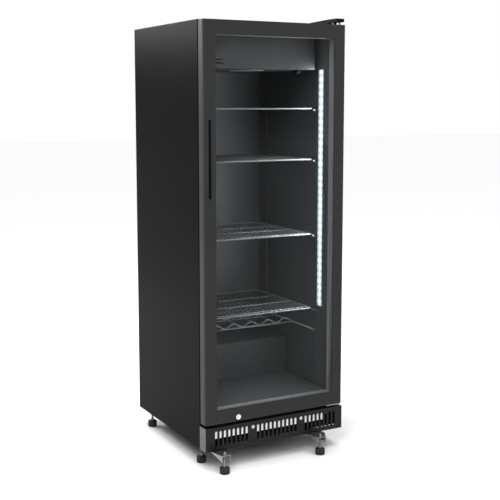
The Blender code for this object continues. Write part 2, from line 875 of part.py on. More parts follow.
def make_hinges():
    """Top hinge with its cover on the cabinet's top, and bottom hinge above the plinth."""
    pin_x = across(HINGE_ACROSS)
    pin_y = behind(HINGE_BEHIND)
    top = up(HEIGHT) + GAP
    sheet = 0.003
    arm_low = up(DOOR_TOP) + 0.0135
    bracket_outline = [
        (behind(0.190), top),
        (behind(0.190), top + sheet),
        (behind(0.070), top + sheet),
        (behind(0.067), arm_low + sheet),
        (behind(0.010), arm_low + sheet),
        (behind(0.010), arm_low),
        (behind(0.064), arm_low),
        (behind(0.064), top),
    ]
    bracket = prism(
        "top_hinge_bracket", bracket_outline, "X", pin_x - 0.010, pin_x + 0.006
    )
    pin = cylinder(
        "top_hinge_pin",
        PIN_RADIUS,
        (pin_x, pin_y, up(DOOR_TOP - 0.024)),
        (pin_x, pin_y, arm_low + sheet / 2),
        16,
    )
    paint(join(bracket, pin), "zinc_steel")

    cover_top = top + 0.021
    wall = 0.002
    cover_outline = [
        (behind(0.205), top),
        (behind(0.205), top + 0.012),
        (behind(0.195), top + 0.017),
        (behind(0.060), cover_top),
        (behind(0.008), cover_top),
        (behind(0.005), cover_top - 0.003),
        (behind(0.005), arm_low - 0.003),
        (behind(0.055), arm_low - 0.003),
        (behind(0.058), top),
    ]
    hollow_outline = [
        (behind(0.202), top - 0.01),
        (behind(0.202), top + 0.010),
        (behind(0.193), top + 0.0145),
        (behind(0.060), cover_top - wall),
        (behind(0.008), cover_top - wall),
        (behind(0.008), arm_low - 0.02),
        (behind(0.057), arm_low - 0.02),
        (behind(0.061), arm_low - 0.02),
    ]
    cover = prism("top_hinge_cover", cover_outline, "X", pin_x - 0.025, pin_x + 0.010)
    hollow = prism("cover_hollow", hollow_outline, "X", pin_x - 0.025 + wall, pin_x + 0.010 - wall)
    paint(cut(cover, hollow), "black_plastic")

    arm_top = up(DOOR_BOTTOM) - 0.0025
    plate = 0.004
    arm = box(
        "bottom_hinge_bracket",
        (across(0.530), behind(0.008), arm_top - plate),
        (across(0.592), BODY_FRONT - GAP, arm_top),
    )
    leg = box(
        "bottom_hinge_leg",
        (across(0.535), BODY_FRONT - 0.0035, up(0.050)),
        (across(0.587), BODY_FRONT - GAP, arm_top - plate / 2),
    )
    bottom_pin = cylinder(
        "bottom_hinge_pin",
        PIN_RADIUS,
        (pin_x, pin_y, arm_top - plate / 2),
        (pin_x, pin_y, up(DOOR_BOTTOM + 0.022)),
        16,
    )
    paint(join(arm, leg, bottom_pin), "zinc_steel")


# Inside the cavity

def make_pilaster(name, side, y_front, low):
    """Shelf upright on a side wall, with a clip under each shelf."""
    wall_x = side * (WIDTH / 2 - WALL - GAP)
    face_x = wall_x - side * 0.003
    tip_x = side * (WIDTH / 2 - SHELF_INSET - 0.006)
    high = up(1.385)
    points = [(wall_x, high), (wall_x, low), (face_x, low)]
    for height in sorted((*SHELF_HEIGHTS, BOTTLE_SHELF_HEIGHT)):
        clip_top = up(height) - SHELF_THICKNESS / 2 - GAP
        clip_low = clip_top - 0.008
        points += [
            (face_x, clip_low - 0.004),
            (tip_x, clip_low + 0.004),
            (tip_x, clip_top),
            (face_x, clip_top),
        ]
    points.append((face_x, high))
    y = behind(y_front)
    return paint(prism(name, points, "Y", y, y + 0.016), "liner_plastic")


def make_shelf(name, height):
    """Wire shelf as a flat grid; the fine round wires follow this outline."""
    left = across(SHELF_INSET)
    right = -left
    front = behind(SHELF_FRONT)
    back = behind(SHELF_BACK)
    bars = 16
    pitch = (right - left - WIRE_BAR) / bars
    middle = (front + back) / 2
    holes = []
    for index in range(bars):
        low_x = left + WIRE_BAR + index * pitch
        high_x = low_x + pitch - WIRE_BAR
        holes.append(rectangle(low_x, front + WIRE_BAR, high_x, middle - WIRE_BAR / 2))
        holes.append(rectangle(low_x, middle + WIRE_BAR / 2, high_x, back - WIRE_BAR))
    half = SHELF_THICKNESS / 2
    shelf = prism(
        name, rectangle(left, front, right, back), "Z", up(height) - half, up(height) + half, holes
    )
    return paint(shelf, "wire_coating")


def wave_band(left, right, base, waves, rise, band):
    """Outline of a wavy strip, its lower line first."""
    steps = waves * 5
    lower = []
    for index in range(steps + 1):
        turn = index / steps
        x = left + (right - left) * turn
        lower.append((x, base + rise * (1 - math.cos(2 * math.pi * waves * turn)) / 2))
    upper = [(x, z + band) for x, z in reversed(lower)]
    return lower + upper


def make_bottle_shelf():
    """Half-depth rack of wavy wires for lying bottles, its arms reaching to the front clips."""
    left = across(SHELF_INSET)
    right = -left
    back = behind(SHELF_BACK)
    front = behind(BOTTLE_SHELF_FRONT)
    arm_front = behind(SHELF_FRONT - 0.006)
    bar = 0.005
    outline = [
        (left, arm_front),
        (left + bar, arm_front),
        (left + bar, front),
        (right - bar, front),
        (right - bar, arm_front),
        (right, arm_front),
        (right, back),
        (left, back),
    ]
    hole = rectangle(left + bar, front + bar, right - bar, back - bar)
    half = SHELF_THICKNESS / 2
    low = up(BOTTLE_SHELF_HEIGHT) - half
    shelf = prism("bottle_shelf", outline, "Z", low, low + SHELF_THICKNESS, (hole,))
    for index, y in enumerate((BOTTLE_SHELF_FRONT, 0.410, SHELF_BACK - bar)):
        band = wave_band(left + 0.001, right - 0.001, low + 0.002, 6, 0.020, 0.004)
        y_low = behind(y) + 0.0005
        join(shelf, prism(f"bottle_wave_{index}", band, "Y", y_low, y_low + 0.004))
    return paint(shelf, "wire_coating")


def make_led():
    """Light bar on the right wall just behind the door: a channel with the lit strip inside."""
    wall_x = INNER_RIGHT - GAP
    face_x = wall_x - 0.009
    front = behind(0.072)
    back = behind(0.112)
    skin = 0.0015
    outline = [
        (wall_x, front),
        (face_x, front),
        (face_x, front + skin),
        (wall_x - skin, front + skin),
        (wall_x - skin, back - skin),
        (face_x, back - skin),
        (face_x, back),
        (wall_x, back),
    ]
    housing = prism("led_housing", outline, "Z", up(LED_BOTTOM), up(LED_TOP))
    paint(housing, "liner_plastic")
    strip = box(
        "led_strip",
        (face_x + 0.002, front + skin + GAP, up(LED_BOTTOM + 0.006)),
        (wall_x - skin - GAP, back - skin - GAP, up(LED_TOP - 0.006)),
    )
    return paint(strip, "led_light")


def make_fan_blades(name, centre, axis, radius, thickness, blades=5):
    """Fan rotor: a hub with pitched blades, turning about an axis through its centre."""
    centre = Vector(centre)
    axis = Vector(axis)
    hub_radius = radius * 0.28
    rotor = cylinder(
        name, hub_radius, centre - axis * thickness / 2, centre + axis * thickness / 2, 20
    )
    to_axis = axis.to_track_quat("Z", "Y")
    inner = hub_radius * 0.8
    for index in range(blades):
        blade = box(
            f"{name}_vane_{index}",
            (inner, -radius * 0.24, -0.0008),
            (radius * 0.96, radius * 0.24, 0.0008),
        )
        spin = Euler((0, 0, 2 * math.pi * index / blades)).to_quaternion()
        pitch = Euler((math.radians(28), 0, 0)).to_quaternion()
        middle = blade.location.copy()
        blade.rotation_euler = (to_axis @ spin @ pitch).to_euler()
        blade.location = centre + to_axis @ (spin @ middle)
        join(rotor, blade)
    hang_on(axis_at(f"{name}_axis", centre), rotor)
    return paint(rotor, "black_plastic")


def make_evaporator():
    """Cooling unit under the ceiling: cover, coil, fan, guard, knob and lamp switch."""
    left = across(EVAPORATOR_INSET)
    right = -left
    front = behind(EVAPORATOR_FRONT)
    back = INNER_BACK - GAP
    low = up(EVAPORATOR_BOTTOM)
    high = INNER_TOP - GAP
    wall = 0.0025
    cover = box("evaporator_cover", (left, front, low), (right, back, high))
    hollow = box(
        "evaporator_hollow",
        (left + wall, front + wall, low + wall),
        (right - wall, back + 0.01, high + 0.01),
    )
    fan_y = behind(EVAPORATOR_FAN_BEHIND)
    fan_hole = cylinder(
        "evaporator_fan_hole",
        EVAPORATOR_FAN_RADIUS,
        (0, fan_y, low - 0.01),
        (0, fan_y, low + 0.01),
        32,
    )
    switch_x = across(SWITCH_ACROSS)
    switch_z = up(SWITCH_UP)
    switch_hole = box(
        "switch_hole",
        (switch_x - 0.0175, front - 0.01, switch_z - 0.0080),
        (switch_x + 0.0175, front + 0.01, switch_z + 0.0080),
    )
    knob_x = across(KNOB_ACROSS)
    knob_y = behind(KNOB_BEHIND)
    knob_hole = cylinder(
        "knob_hole", 0.004, (knob_x, knob_y, low - 0.01), (knob_x, knob_y, low + 0.01), 16
    )
    paint(cut(cover, hollow, fan_hole, switch_hole, knob_hole), "liner_plastic")

    fin_count = 22
    spine = 0.012
    fin = 0.002
    coil_front = behind(0.340)
    coil_back = behind(0.530)
    pitch = (right - left - 0.060) / (fin_count - 1)
    outline = [(left + 0.030 - fin, coil_back), (left + 0.030 - fin, coil_back - spine)]
    for index in range(fin_count):
        x = left + 0.030 + index * pitch
        outline += [
            (x - fin / 2, coil_back - spine),
            (x - fin / 2, coil_front),
            (x + fin / 2, coil_front),
            (x + fin / 2, coil_back - spine),
        ]
    outline += [(right - 0.030 + fin, coil_back - spine), (right - 0.030 + fin, coil_back)]
    paint(prism("evaporator_coil", outline, "Z", low + 0.012, high - 0.010), "aluminium")

    make_fan_blades(
        "evaporator_fan_blade", (0, fan_y, low + 0.020), (0, 0, 1), 0.056, 0.014
    )
    motor = turned(
        "evaporator_fan_motor",
        (
            (0.0, 0.083),
            (0.020, 0.083),
            (0.024, 0.078),
            (0.024, 0.034),
            (0.0, 0.034),
        ),
        (0, fan_y, low),
    )
    paint(motor, "black_plastic")

    guard_rings = ((0.066, 0.062), (0.048, 0.0455), (0.030, 0.0275))
    guard_low = low - 0.004
    guard_high = low - GAP
    guard = prism(
        "evaporator_fan_guard",
        arc(0, fan_y, guard_rings[0][0], 0, 345, 23),
        "Z",
        guard_low,
        guard_high,
        (arc(0, fan_y, guard_rings[0][1], 0, 345, 23),),
    )
    for index, (outer, inner) in enumerate(guard_rings[1:]):
        ring = prism(
            f"guard_ring_{index}",
            arc(0, fan_y, outer, 0, 337.5, 15),
            "Z",
            guard_low,
            guard_high - 0.0002,
            (arc(0, fan_y, inner, 0, 337.5, 15),),
        )
        join(guard, ring)
    for index in range(2):
        turn = math.radians(45 + 90 * index)
        reach = 0.0635
        start = (-reach * math.cos(turn), fan_y - reach * math.sin(turn), (guard_low + guard_high) / 2)
        end = (reach * math.cos(turn), fan_y + reach * math.sin(turn), (guard_low + guard_high) / 2)
        join(guard, cylinder(f"guard_spoke_{index}", 0.0014, start, end, 8))
    paint(guard, "wire_coating")

    knob = turned(
        "thermostat_knob",
        (
            (0.0, 0.012),
            (0.003, 0.012),
            (0.003, -0.001),
            (0.015, -0.001),
            (0.014, -0.014),
            (0.0, -0.014),
        ),
        (knob_x, knob_y, low),
    )
    paint(knob, "black_plastic")
    hang_on(axis_at("thermostat_axis", (knob_x, knob_y, low)), knob)

    rocker = box(
        "light_switch",
        (switch_x - 0.016, front - 0.003, switch_z - 0.0055),
        (switch_x + 0.016, front + 0.006, switch_z + 0.0055),
    )
    soften(rocker, 0.001)
    paint(rocker, "reveal_plastic")
    hang_on(axis_at("light_switch_axis", (switch_x, front + 0.0015, switch_z)), rocker)


# Machine bay

def make_compressor():
    """Hermetic compressor: a domed can on a base plate with four rubber mounts."""
    can = turned(
        "compressor",
        (
            (0.0, 0.165),
            (0.035, 0.160),
            (0.060, 0.146),
            (0.071, 0.125),
            (0.073, 0.105),
            (0.073, 0.060),
            (0.069, 0.035),
            (0.055, 0.020),
            (0.0, 0.020),
        ),
        (COMPRESSOR_X, COMPRESSOR_Y, up(0)),
        28,
    )
    plate = box(
        "compressor_plate",
        (COMPRESSOR_X - 0.100, COMPRESSOR_Y - 0.050, up(0.0165)),
        (COMPRESSOR_X + 0.100, COMPRESSOR_Y + 0.050, up(0.0215)),
    )
    join(can, plate)
    low = up(SHEET + GAP)
    for index, (side, end) in enumerate(((-1, -1), (-1, 1), (1, -1), (1, 1))):
        x = COMPRESSOR_X + side * 0.085
        y = COMPRESSOR_Y + end * 0.036
        join(can, cylinder(f"compressor_mount_{index}", 0.010, (x, y, low), (x, y, up(0.026)), 16))
    terminal_box = box(
        "compressor_terminals",
        (COMPRESSOR_X - 0.025, COMPRESSOR_Y - 0.092, up(0.070)),
        (COMPRESSOR_X + 0.025, COMPRESSOR_Y - 0.060, up(0.115)),
    )
    join(can, terminal_box)
    return paint(can, "black_plastic")


def make_condenser():
    """Finned condenser with a fan behind it in a shroud."""
    front = BAY_FRONT + 0.006
    back = front + 0.050
    half_width = 0.085
    low = up(SHEET + GAP)
    high = up(0.200)
    fin_count = 18
    fin = 0.002
    spine = 0.008
    pitch = (2 * half_width - fin) / (fin_count - 1)
    outline = [(CONDENSER_X - half_width, back), (CONDENSER_X - half_width, front)]
    for index in range(fin_count):
        x = CONDENSER_X - half_width + fin / 2 + index * pitch
        if index:
            outline += [(x - fin / 2, back - spine), (x - fin / 2, front)]
        if index < fin_count - 1:
            outline += [(x + fin / 2, front), (x + fin / 2, back - spine)]
    outline += [(CONDENSER_X + half_width, front), (CONDENSER_X + half_width, back)]
    paint(prism("condenser_coil", outline, "Z", low, high), "aluminium")

    shroud_front = back + 0.004
    shroud_back = shroud_front + 0.014
    ring = arc(CONDENSER_X, CONDENSER_Z, CONDENSER_FAN_RADIUS + 0.004, 0, 345, 23)
    shroud = prism(
        "condenser_fan_shroud",
        rectangle(CONDENSER_X - half_width, low, CONDENSER_X + half_width, high),
        "Y",
        shroud_front,
        shroud_back,
        (ring,),
    )
    paint(shroud, "black_plastic")

    blade_y = (shroud_front + shroud_back) / 2
    make_fan_blades(
        "condenser_fan_blade",
        (CONDENSER_X, blade_y, CONDENSER_Z),
        (0, 1, 0),
        CONDENSER_FAN_RADIUS,
        0.016,
    )

    motor_front = shroud_back + 0.006
    motor = cylinder(
        "condenser_fan_motor",
        0.028,
        (CONDENSER_X, motor_front, CONDENSER_Z),
        (CONDENSER_X, motor_front + 0.045, CONDENSER_Z),
        24,
    )
    leg = box(
        "motor_leg",
        (CONDENSER_X - 0.015, motor_front + 0.018, low),
        (CONDENSER_X + 0.015, motor_front + 0.021, CONDENSER_Z - 0.010),
    )
    foot = box(
        "motor_foot",
        (CONDENSER_X - 0.020, motor_front + 0.0185, low),
        (CONDENSER_X + 0.020, motor_front + 0.045, low + 0.003),
    )
    join(motor, leg, foot)
    paint(motor, "black_plastic")


def make_drip_tray():
    """Tray over the compressor that evaporates the defrost water."""
    low = up(0.185)
    high = up(0.215)
    wall = 0.002
    half_x = 0.095
    half_y = 0.060
    tray = box(
        "drip_tray",
        (COMPRESSOR_X - half_x, COMPRESSOR_Y - half_y, low),
        (COMPRESSOR_X + half_x, COMPRESSOR_Y + half_y, high),
    )
    hollow = box(
        "tray_hollow",
        (COMPRESSOR_X - half_x + wall, COMPRESSOR_Y - half_y + wall, low + wall),
        (COMPRESSOR_X + half_x - wall, COMPRESSOR_Y + half_y - wall, high + 0.01),
    )
    return paint(cut(tray, hollow), "black_plastic")


def rounded_route(corners, radius, steps=4):
    """Route through corners with each inner corner rounded by an arc-like curve."""
    points = [Vector(corners[0])]
    for before, corner, after in zip(corners, corners[1:], corners[2:]):
        corner = Vector(corner)
        start = corner + (Vector(before) - corner).normalized() * radius
        end = corner + (Vector(after) - corner).normalized() * radius
        for step in range(steps + 1):
            turn = step / steps
            points.append(start.lerp(corner, turn).lerp(corner.lerp(end, turn), turn))
    points.append(Vector(corners[-1]))
    return [tuple(point) for point in points]


def make_pipes():
    """Copper pipes between the compressor, the condenser and the cavity above."""
    side = COMPRESSOR_X - 0.0735
    discharge = rounded_route(
        [
            (side, COMPRESSOR_Y, up(0.090)),
            (side - 0.040, COMPRESSOR_Y, up(0.090)),
            (side - 0.040, BAY_FRONT + 0.030, up(0.090)),
            (CONDENSER_X + 0.0853, BAY_FRONT + 0.030, up(0.090)),
        ],
        0.015,
    )
    paint(tube("discharge_pipe", discharge, 0.003), "copper")
    suction = rounded_route(
        [
            (side, COMPRESSOR_Y + 0.020, up(0.075)),
            (side - 0.055, COMPRESSOR_Y + 0.020, up(0.075)),
            (side - 0.055, COMPRESSOR_Y + 0.020, up(BAY_HEIGHT) - GAP),
        ],
        0.018,
    )
    paint(tube("suction_pipe", suction, 0.004), "copper")


def build():
    clear_scene()
    bpy.context.scene.collection.children.link(parts)
    bpy.context.scene.collection.children.link(cutters)

    make_side_panel("side_panel_left", -1)
    make_side_panel("side_panel_right", 1)
    make_top_panel()
    make_back_panels()
    make_power_inlet()
    make_foam()
    make_liner()

    make_base_pan()
    make_front_cross_member()
    make_front_grille()
    make_air_baffle()
    for name, (x, y) in LEVELLING_FEET.items():
        make_foot(f"levelling_foot_{name}", x, y, up(0.016))
    for name, x in STABILISERS.items():
        make_stabiliser_bracket(name, x)
        make_foot(f"stabiliser_foot_{name}", x, STABILISER_BEHIND, up(0.010))

    frame = make_door_frame()
    door_pieces = [frame, *make_glazing(), make_gasket(), make_handle(), make_lock()]
    door_axis = axis_at("door_axis", (across(HINGE_ACROSS), behind(HINGE_BEHIND), up(DOOR_BOTTOM)))
    hang_on(door_axis, *door_pieces, bpy.data.objects["lock_axis"])
    make_hinges()

    for row, y_front, low in (
        ("front", 0.120, up(FRONT_UPRIGHT_LOW)),
        ("rear", 0.520, up(REAR_UPRIGHT_LOW)),
    ):
        make_pilaster(f"pilaster_{row}_left", -1, y_front, low)
        make_pilaster(f"pilaster_{row}_right", 1, y_front, low)
    for number, height in enumerate(SHELF_HEIGHTS, start=1):
        make_shelf(f"shelf_{number}", height)
    make_bottle_shelf()
    make_led()
    make_evaporator()

    make_compressor()
    make_condenser()
    make_drip_tray()
    make_pipes()


build()
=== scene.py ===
"""Finished look of the upright glass-door display cooler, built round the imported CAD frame."""

import json
import math

import bmesh
import bpy
from mathutils import Euler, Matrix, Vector

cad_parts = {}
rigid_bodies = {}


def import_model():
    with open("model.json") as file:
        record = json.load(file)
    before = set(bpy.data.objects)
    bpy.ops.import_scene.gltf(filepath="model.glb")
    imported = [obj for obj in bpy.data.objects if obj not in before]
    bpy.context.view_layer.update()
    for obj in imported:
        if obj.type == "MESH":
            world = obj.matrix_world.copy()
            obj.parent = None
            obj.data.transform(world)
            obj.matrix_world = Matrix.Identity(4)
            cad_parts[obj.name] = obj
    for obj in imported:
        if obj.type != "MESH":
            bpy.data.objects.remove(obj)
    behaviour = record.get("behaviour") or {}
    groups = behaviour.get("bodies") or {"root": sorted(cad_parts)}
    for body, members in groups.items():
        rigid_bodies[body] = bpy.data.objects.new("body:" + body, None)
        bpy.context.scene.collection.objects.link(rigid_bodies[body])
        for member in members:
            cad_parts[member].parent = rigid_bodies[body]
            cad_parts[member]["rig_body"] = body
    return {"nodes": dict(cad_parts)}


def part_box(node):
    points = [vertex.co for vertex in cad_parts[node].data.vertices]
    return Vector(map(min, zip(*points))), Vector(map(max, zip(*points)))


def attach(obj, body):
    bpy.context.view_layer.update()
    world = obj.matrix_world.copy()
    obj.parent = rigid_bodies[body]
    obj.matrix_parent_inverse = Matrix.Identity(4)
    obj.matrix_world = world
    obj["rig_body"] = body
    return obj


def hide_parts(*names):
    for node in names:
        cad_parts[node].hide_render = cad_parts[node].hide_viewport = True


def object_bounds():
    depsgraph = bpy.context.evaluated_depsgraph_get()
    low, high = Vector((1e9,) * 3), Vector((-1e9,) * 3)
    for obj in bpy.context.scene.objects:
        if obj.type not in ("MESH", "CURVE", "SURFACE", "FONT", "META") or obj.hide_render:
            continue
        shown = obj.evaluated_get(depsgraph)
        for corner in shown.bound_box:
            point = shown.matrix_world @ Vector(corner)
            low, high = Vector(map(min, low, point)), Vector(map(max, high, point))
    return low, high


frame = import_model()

NODES = frame["nodes"]
CAD_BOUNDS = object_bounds()

# Camera, in metres and radians; the pitch is downward
CAMERA_PLACE = (-1.7928, -3.3503, 1.3378)
CAMERA_YAW = 0.5012
CAMERA_PITCH = 0.1245
CAMERA_LENS = 69.809
CAMERA_SHIFT = -0.05

# Stage
FLOOR_REACH = 30.0
FLOOR_TONE = (0.89, 0.89, 0.89)
WORLD_LIGHT = 0.32           # surround, except where the camera sees it
SUN_LIGHT = 2.5
SUN_SPREAD = math.radians(40)
STRIP_LIGHT = 4.8
STRIP_WIDTH = 0.03
STRIP_COLOUR = (0.88, 0.94, 1.0)
STRIP_GAP = 0.006            # from the lamp to the light strip behind it
LAMP_AIM = Vector((0, 0, 0.9))
LAMPS = (                    # name, place, size, power
    ("key_light", (-2.4, -2.8, 3.8), (2.0, 2.0), 90),
    ("fill_light", (3.2, -3.2, 2.2), (2.0, 2.5), 30),
    ("side_light", (-1.7, 2.9, 2.45), (1.4, 1.3), 80),
    ("back_light", (1.5, 3.5, 3.0), (2.5, 2.0), 35),
)

# Light strip
LED_PITCH = 0.027            # from one diode to the next
LED_POWER = 1.7

# Wire pieces; wires are given by their radius
WIRE = 0.0016                # fine wires of a shelf
FRAME_WIRE = 0.0024          # frame wires of a shelf or the rack
FINE_WIRES = 23              # front-to-back wires across a shelf
CROSS_WIRES = (0.06, 0.36, 0.66)   # places along a shelf's depth
SHELF_CORNER = 0.012
WAVE_WIRE = 0.002
WAVES = 6
WAVE_STEPS = 16              # points along one wave
WAVE_REST = 0.003            # lowest point of a wave above the frame wires' middle
WAVE_TRIM = 0.005            # height of the rack that the waves leave free
RACK_SETBACK = 0.268         # from the door's face to the first cross wire
GUARD_WIRE = 0.0012
GUARD_RINGS = (1.0, 0.86, 0.72, 0.58, 0.44, 0.30)
GUARD_SPOKES = 4
GUARD_TURN = 20              # degrees from the X axis to the first spoke

# Small pieces
EDGE = 0.0008                # rounding of pressed sheet edges
PAD_HEIGHT = 0.027           # rubber pad of a foot
THREAD_PITCH = 0.0015
ROD = 0.0040                 # radius over a foot's thread
GASKET_WIDTH = 0.013
SCREW_INSET = 0.012          # screw seats from the rear panels' edges
SCREW_SEAT_DEPTH = 0.0011
HINGE_PLATE = 0.0033         # top of the hinge plate above the top panel
HINGE_SCREW_INSET = 0.020
HINGE_SCREW_PITCH = 0.045
EYELET_PITCH = 0.025
EYELET_REACH = 0.0031        # from the liner's wall to the upright's face
SEAM_HEIGHT = 0.55           # share of the compressor's height
SEAM_SPREAD = 0.86           # share of the compressor's half width
SEAM_WIRE = 0.0022


# Materials

class Surface:
    """Node graph of one material, with the nodes that the finishes below share."""

    def __init__(self, name, roughness, metallic=0.0, specular=0.5):
        self.material = bpy.data.materials.new(name)
        self.material.use_nodes = True
        self.tree = self.material.node_tree
        self.shader = self.tree.nodes["Principled BSDF"]
        self.shader.inputs["Roughness"].default_value = roughness
        self.shader.inputs["Metallic"].default_value = metallic
        self.shader.inputs["Specular IOR Level"].default_value = specular
        self.place = self.node("ShaderNodeTexCoord").outputs["Object"]

    def node(self, kind, **values):
        made = self.tree.nodes.new(kind)
        for name, value in values.items():
            setattr(made, name, value)
        return made

    def link(self, output, socket):
        self.tree.links.new(output, socket)

    def stretched(self, scale):
        """Object coordinates scaled along each axis, in cycles per metre."""
        mapping = self.node("ShaderNodeMapping")
        mapping.inputs["Scale"].default_value = scale
        self.link(self.place, mapping.inputs["Vector"])
        return mapping.outputs["Vector"]

    def noise(self, scale, detail=3.0, rough=0.55):
        """Noise with that many cells per metre along each axis."""
        texture = self.node("ShaderNodeTexNoise")
        texture.inputs["Scale"].default_value = 1.0
        texture.inputs["Detail"].default_value = detail
        texture.inputs["Roughness"].default_value = rough
        self.link(self.stretched(scale), texture.inputs["Vector"])
        return texture.outputs["Fac"]

    def remap(self, value, low, high, new_low, new_high):
        ranger = self.node("ShaderNodeMapRange")
        ranger.inputs["From Min"].default_value = low
        ranger.inputs["From Max"].default_value = high
        ranger.inputs["To Min"].default_value = new_low
        ranger.inputs["To Max"].default_value = new_high
        self.link(value, ranger.inputs["Value"])
        return ranger.outputs["Result"]

    def math(self, operation, first, second):
        made = self.node("ShaderNodeMath", operation=operation)
        for socket, value in zip(made.inputs, (first, second)):
            if isinstance(value, (int, float)):
                socket.default_value = value
            else:
                self.link(value, socket)
        return made.outputs["Value"]

    def axis(self, name):
        split = self.node("ShaderNodeSeparateXYZ")
        self.link(self.place, split.inputs["Vector"])
        return split.outputs[name]

    def colours(self, value, *stops):
        """Colour ramp over a value; each stop is (position, colour)."""
        ramp = self.node("ShaderNodeValToRGB")
        while len(ramp.color_ramp.elements) < len(stops):
            ramp.color_ramp.elements.new(1.0)
        for element, (position, colour) in zip(ramp.color_ramp.elements, stops):
            element.position = position
            element.color = (*colour, 1.0)
        self.link(value, ramp.inputs["Fac"])
        return ramp.outputs["Color"]

    def bump(self, height, distance):
        made = self.node("ShaderNodeBump")
        made.inputs["Distance"].default_value = distance
        self.link(height, made.inputs["Height"])
        self.link(made.outputs["Normal"], self.shader.inputs["Normal"])

    def paint(self, colour):
        self.link(colour, self.shader.inputs["Base Color"])


def shade(colour, factor):
    return tuple(min(1.0, channel * factor) for channel in colour)


def powder_coat(name, colour, roughness, specular, ends=None):
    """Satin powder coat: fine orange peel, slightly uneven tone and sheen.

    ends is (colour, start, full): painted light on the sides; towards the left and right sides
    the coat turns to that colour, from one distance off the middle to another.
    """
    surface = Surface(name, roughness, specular=specular)
    broad = surface.noise((5, 5, 5), 4)
    tone = surface.colours(broad, (0.3, shade(colour, 0.95)), (0.7, shade(colour, 1.06)))
    # Painted light: the side faces get a lighter colour in place of the light that falls on them
    if ends:
        lit_side_colour, start, full = ends
        aside = surface.math("ABSOLUTE", surface.axis("X"), 0.0)
        share = surface.remap(aside, start, full, 0.0, 1.0)
        side_light_blend = surface.node("ShaderNodeMix", data_type="RGBA")
        surface.link(share, side_light_blend.inputs["Factor"])
        surface.link(tone, side_light_blend.inputs["A"])
        lit_side_tone = surface.colours(
            broad, (0.3, shade(lit_side_colour, 0.92)), (0.7, shade(lit_side_colour, 1.08))
        )
        surface.link(lit_side_tone, side_light_blend.inputs["B"])
        tone = side_light_blend.outputs["Result"]
    surface.paint(tone)
    peel = surface.noise((900, 900, 900), 2)
    surface.bump(peel, 0.00006)
    patch = surface.noise((22, 22, 22), 3)
    sheen = surface.remap(patch, 0.3, 0.7, roughness - 0.015, roughness + 0.015)
    surface.link(sheen, surface.shader.inputs["Roughness"])
    return surface.material


def moulded(name, colour, roughness, specular=0.5):
    """Moulded plastic with a fine spark-eroded grain."""
    surface = Surface(name, roughness, specular=specular)
    broad = surface.noise((9, 9, 9), 3)
    surface.paint(surface.colours(broad, (0.3, shade(colour, 0.92)), (0.7, shade(colour, 1.08))))
    surface.bump(surface.noise((500, 500, 500), 2), 0.000004)
    patch = surface.noise((60, 60, 60), 2)
    sheen = surface.remap(patch, 0.3, 0.7, roughness - 0.04, roughness + 0.05)
    surface.link(sheen, surface.shader.inputs["Roughness"])
    return surface.material


def zinc(name, colour):
    """Zinc plating: small spangle, drawn lines and dull spots."""
    surface = Surface(name, 0.34, metallic=1.0)
    spangle = surface.node("ShaderNodeTexVoronoi")
    spangle.inputs["Scale"].default_value = 260
    surface.link(surface.place, spangle.inputs["Vector"])
    tone = surface.math("ADD", surface.noise((40, 40, 40), 4), spangle.outputs["Distance"])
    surface.paint(surface.colours(tone, (0.3, shade(colour, 0.80)), (1.1, shade(colour, 1.12))))
    lines = surface.noise((900, 60, 900), 3)
    surface.bump(lines, 0.00004)
    dull = surface.noise((120, 120, 120), 4)
    sheen = surface.remap(dull, 0.3, 0.7, 0.26, 0.46)
    surface.link(sheen, surface.shader.inputs["Roughness"])
    return surface.material


def brushed_aluminium(name, colour):
    """Satin aluminium with fine drawn lines."""
    surface = Surface(name, 0.45, metallic=0.7)
    lines = surface.noise((40, 2600, 40), 2)
    surface.paint(surface.colours(lines, (0.3, shade(colour, 0.8)), (0.7, colour)))
    surface.bump(lines, 0.00003)
    patch = surface.noise((50, 50, 50), 3)
    surface.link(surface.remap(patch, 0.3, 0.7, 0.38, 0.52), surface.shader.inputs["Roughness"])
    return surface.material


def plated(name, colour):
    """Nickel plating of the lock, turned on a lathe."""
    surface = Surface(name, 0.2, metallic=1.0)
    turning = surface.noise((3000, 30, 3000), 2)
    surface.paint(surface.colours(turning, (0.3, shade(colour, 0.9)), (0.7, colour)))
    surface.bump(turning, 0.00002)
    sheen = surface.remap(surface.noise((200, 200, 200), 3), 0.3, 0.7, 0.14, 0.30)
    surface.link(sheen, surface.shader.inputs["Roughness"])
    return surface.material


def coated_wire(name, colour):
    """Wire dipped in plastic: soft sheen and a slightly lumpy coat."""
    surface = Surface(name, 0.32)
    drips = surface.noise((130, 130, 130), 3)
    surface.paint(surface.colours(drips, (0.3, shade(colour, 0.86)), (0.7, shade(colour, 1.06))))
    surface.bump(drips, 0.00012)
    sheen = surface.remap(drips, 0.3, 0.7, 0.26, 0.42)
    surface.link(sheen, surface.shader.inputs["Roughness"])
    return surface.material


def soft_rubber(name, colour):
    """Matt rubber with a dusty tone."""
    surface = Surface(name, 0.72)
    dust = surface.noise((70, 70, 70), 5)
    surface.paint(surface.colours(dust, (0.35, colour), (0.75, shade(colour, 1.9))))
    surface.bump(surface.noise((1800, 1800, 1800), 2), 0.00006)
    surface.link(surface.remap(dust, 0.3, 0.7, 0.62, 0.84), surface.shader.inputs["Roughness"])
    return surface.material


